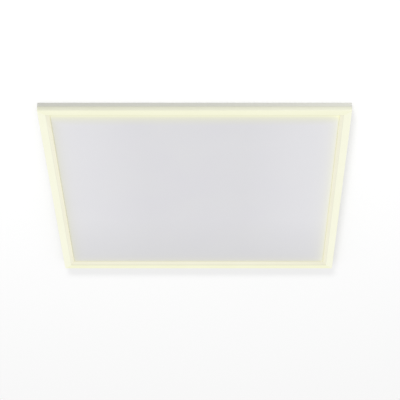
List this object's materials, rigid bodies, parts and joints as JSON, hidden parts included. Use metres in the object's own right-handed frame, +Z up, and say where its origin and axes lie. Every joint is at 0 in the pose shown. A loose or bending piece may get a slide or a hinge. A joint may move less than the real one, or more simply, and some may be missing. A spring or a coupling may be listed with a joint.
{
  "type": "ceiling heating panel with light frame",
  "caption": "Square ceiling panel: a plain radiant heating plate inside a mitred, warm white lit frame, with back tray, electrical boxes and sprung ceiling clips above.",
  "frame": {"origin": "centre of the panel on the ceiling's lower surface, which is the plane of the rails' bearing strips", "axes": "+Z up into the ceiling void, the lit face looks along -Z; +X to the right and +Y to the far side as seen in the picture"},
  "size_m": [0.595, 0.595, 0.0748],
  "materials": {
    "white_coat": "satin powder coat",
    "plate_coat": "fine matt powder coat",
    "opal": "opal, lit from inside",
    "led_board": "white solder mask",
    "galvanised": "galvanised sheet",
    "spring_steel": "bright wire",
    "brass": "plain",
    "white_plastic": "fine moulded grain",
    "grey_plastic": "fine moulded grain",
    "dark_plastic": "moulded",
    "circuit_board": "solder mask",
    "laminate": "heating laminate",
    "mineral_wool": "felted mat",
    "rubber": "matt",
    "lead_sheath": "silicone sheath"
  },
  "bodies": {
    "housing": {"frame_rail_near": "white_coat", "diffuser_near": "opal", "led_board_near": "led_board", "frame_rail_right": "white_coat", "diffuser_right": "opal", "led_board_right": "led_board", "frame_rail_far": "white_coat", "diffuser_far": "opal", "led_board_far": "led_board", "frame_rail_left": "white_coat", "diffuser_left": "opal", "led_board_left": "led_board", "corner_key_near_left": "galvanised", "corner_key_near_right": "galvanised", "corner_key_far_right": "galvanised", "corner_key_far_left": "galvanised", "radiant_plate": "plate_coat", "heating_laminate": "laminate", "thermal_cutout": "dark_plastic", "insulation_mat": "mineral_wool", "back_tray": "galvanised", "heater_grommet": "rubber", "led_grommet": "rubber", "clip_bracket_right_near": "galvanised", "clip_pin_right_near": "spring_steel", "clip_bracket_right_far": "galvanised", "clip_pin_right_far": "spring_steel", "clip_bracket_left_far": "galvanised", "clip_pin_left_far": "spring_steel", "clip_bracket_left_near": "galvanised", "clip_pin_left_near": "spring_steel", "junction_box": "galvanised", "hinge_pin": "spring_steel", "terminal_block": "white_plastic", "earth_stud": "brass", "cable_gland": "dark_plastic", "receiver_base": "grey_plastic", "receiver_cover": "white_plastic", "receiver_board": "circuit_board", "driver_base": "grey_plastic", "driver_cover": "white_plastic", "mains_lead": "lead_sheath", "driver_lead": "lead_sheath", "heater_lead": "lead_sheath", "led_lead": "lead_sheath"},
    "clip_right_near": {"clip_arm_right_near": "galvanised", "clip_pad_right_near": "rubber", "clip_spring_right_near": "spring_steel"},
    "clip_right_far": {"clip_arm_right_far": "galvanised", "clip_pad_right_far": "rubber", "clip_spring_right_far": "spring_steel"},
    "clip_left_far": {"clip_arm_left_far": "galvanised", "clip_pad_left_far": "rubber", "clip_spring_left_far": "spring_steel"},
    "clip_left_near": {"clip_arm_left_near": "galvanised", "clip_pad_left_near": "rubber", "clip_spring_left_near": "spring_steel"},
    "box_lid": {"junction_box_lid": "galvanised"},
    "button": {"pairing_button": "grey_plastic"}
  },
  "joints": [
    {"name": "clip_right_near_swing", "type": "hinge", "parent": "housing", "child": "clip_right_near", "pos_m": [0.2775, -0.16, 0.018], "axis": [0, -1, 0], "range_deg": [0, 88], "stiffness_Nm_per_rad": 0.04, "springref_deg": -91.67, "deforming": ["clip_spring_right_near"]},
    {"name": "clip_right_far_swing", "type": "hinge", "parent": "housing", "child": "clip_right_far", "pos_m": [0.2775, 0.16, 0.018], "axis": [0, -1, 0], "range_deg": [0, 88], "stiffness_Nm_per_rad": 0.04, "springref_deg": -91.67, "deforming": ["clip_spring_right_far"]},
    {"name": "clip_left_far_swing", "type": "hinge", "parent": "housing", "child": "clip_left_far", "pos_m": [-0.2775, 0.16, 0.018], "axis": [0, 1, 0], "range_deg": [0, 88], "stiffness_Nm_per_rad": 0.04, "springref_deg": -91.67, "deforming": ["clip_spring_left_far"]},
    {"name": "clip_left_near_swing", "type": "hinge", "parent": "housing", "child": "clip_left_near", "pos_m": [-0.2775, -0.16, 0.018], "axis": [0, 1, 0], "range_deg": [0, 88], "stiffness_Nm_per_rad": 0.04, "springref_deg": -91.67, "deforming": ["clip_spring_left_near"]},
    {"name": "box_lid_hinge", "type": "hinge", "parent": "housing", "child": "box_lid", "pos_m": [-0.165, 0.1759, 0.0527], "axis": [-1, 0, 0], "range_deg": [0, 110]},
    {"name": "pairing_button_press", "type": "slide", "parent": "housing", "child": "button", "axis": [0, 0, -1], "range_m": [0, 0.001], "stiffness_N_per_m": 300, "springref_m": -0.002}
  ]
}
